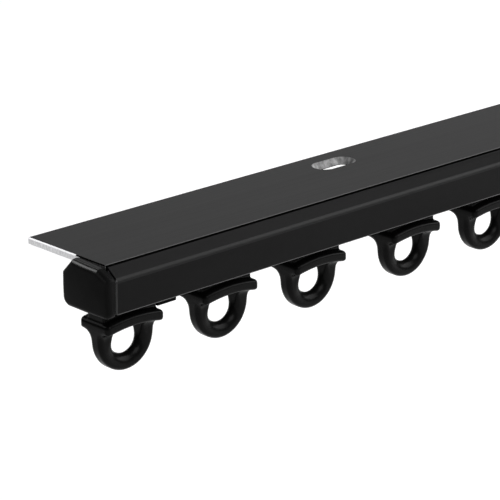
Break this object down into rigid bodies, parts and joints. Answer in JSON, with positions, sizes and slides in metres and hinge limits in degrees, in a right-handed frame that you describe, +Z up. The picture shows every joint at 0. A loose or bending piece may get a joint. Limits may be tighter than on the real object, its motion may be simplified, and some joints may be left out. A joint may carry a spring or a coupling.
{
  "type": "curtain track",
  "caption": "Black aluminium ceiling curtain track: a box channel under a slotted mounting plate, closed by end caps, with gliders that slide along it and hold curtain hooks.",
  "frame": {"origin": "on the ceiling face of the mounting plate, at mid-length, on the line of the fixing slots", "axes": "+X along the rail to the right end as seen from the front, +Y away from the front to the back edge of the plate, +Z up to the ceiling"},
  "size_m": [0.3516, 0.0288, 0.0254],
  "materials": {
    "rail_coat": "black satin coat",
    "cap_plastic": "satin",
    "stop_plastic": "satin",
    "screw_steel": "blackened",
    "glider_plastic": "gloss"
  },
  "bodies": {
    "rail": {"rail": "rail_coat", "end_cap_left": "cap_plastic", "end_cap_right": "cap_plastic", "end_stop_left": "stop_plastic", "end_stop_right": "stop_plastic", "stop_screw_left": "screw_steel", "stop_screw_right": "screw_steel"},
    "glider_01": {"glider_01": "glider_plastic"},
    "glider_02": {"glider_02": "glider_plastic"},
    "glider_03": {"glider_03": "glider_plastic"},
    "glider_04": {"glider_04": "glider_plastic"},
    "glider_05": {"glider_05": "glider_plastic"},
    "glider_06": {"glider_06": "glider_plastic"},
    "glider_07": {"glider_07": "glider_plastic"},
    "glider_08": {"glider_08": "glider_plastic"},
    "glider_09": {"glider_09": "glider_plastic"},
    "glider_10": {"glider_10": "glider_plastic"},
    "glider_11": {"glider_11": "glider_plastic"},
    "glider_12": {"glider_12": "glider_plastic"},
    "glider_13": {"glider_13": "glider_plastic"}
  },
  "joints": [
    {"name": "glider_01_slide", "type": "slide", "parent": "rail", "child": "glider_01", "axis": [1, 0, 0], "range_m": [-0.00025, 0.00025]},
    {"name": "glider_02_slide", "type": "slide", "parent": "rail", "child": "glider_02", "axis": [1, 0, 0], "range_m": [-0.00675, 0.01115]},
    {"name": "glider_03_slide", "type": "slide", "parent": "rail", "child": "glider_03", "axis": [1, 0, 0], "range_m": [-0.01115, 0.01475]},
    {"name": "glider_04_slide", "type": "slide", "parent": "rail", "child": "glider_04", "axis": [1, 0, 0], "range_m": [-0.01475, 0.01115]},
    {"name": "glider_05_slide", "type": "slide", "parent": "rail", "child": "glider_05", "axis": [1, 0, 0], "range_m": [-0.01115, 0.01115]},
    {"name": "glider_06_slide", "type": "slide", "parent": "rail", "child": "glider_06", "axis": [1, 0, 0], "range_m": [-0.01115, 0.01115]},
    {"name": "glider_07_slide", "type": "slide", "parent": "rail", "child": "glider_07", "axis": [1, 0, 0], "range_m": [-0.01115, 0.01115]},
    {"name": "glider_08_slide", "type": "slide", "parent": "rail", "child": "glider_08", "axis": [1, 0, 0], "range_m": [-0.01115, 0.01115]},
    {"name": "glider_09_slide", "type": "slide", "parent": "rail", "child": "glider_09", "axis": [1, 0, 0], "range_m": [-0.01115, 0.01115]},
    {"name": "glider_10_slide", "type": "slide", "parent": "rail", "child": "glider_10", "axis": [1, 0, 0], "range_m": [-0.01115, 0.01115]},
    {"name": "glider_11_slide", "type": "slide", "parent": "rail", "child": "glider_11", "axis": [1, 0, 0], "range_m": [-0.01115, 0.01115]},
    {"name": "glider_12_slide", "type": "slide", "parent": "rail", "child": "glider_12", "axis": [1, 0, 0], "range_m": [-0.01115, 0.00675]},
    {"name": "glider_13_slide", "type": "slide", "parent": "rail", "child": "glider_13", "axis": [1, 0, 0], "range_m": [-0.00025, 0.00025]}
  ]
}
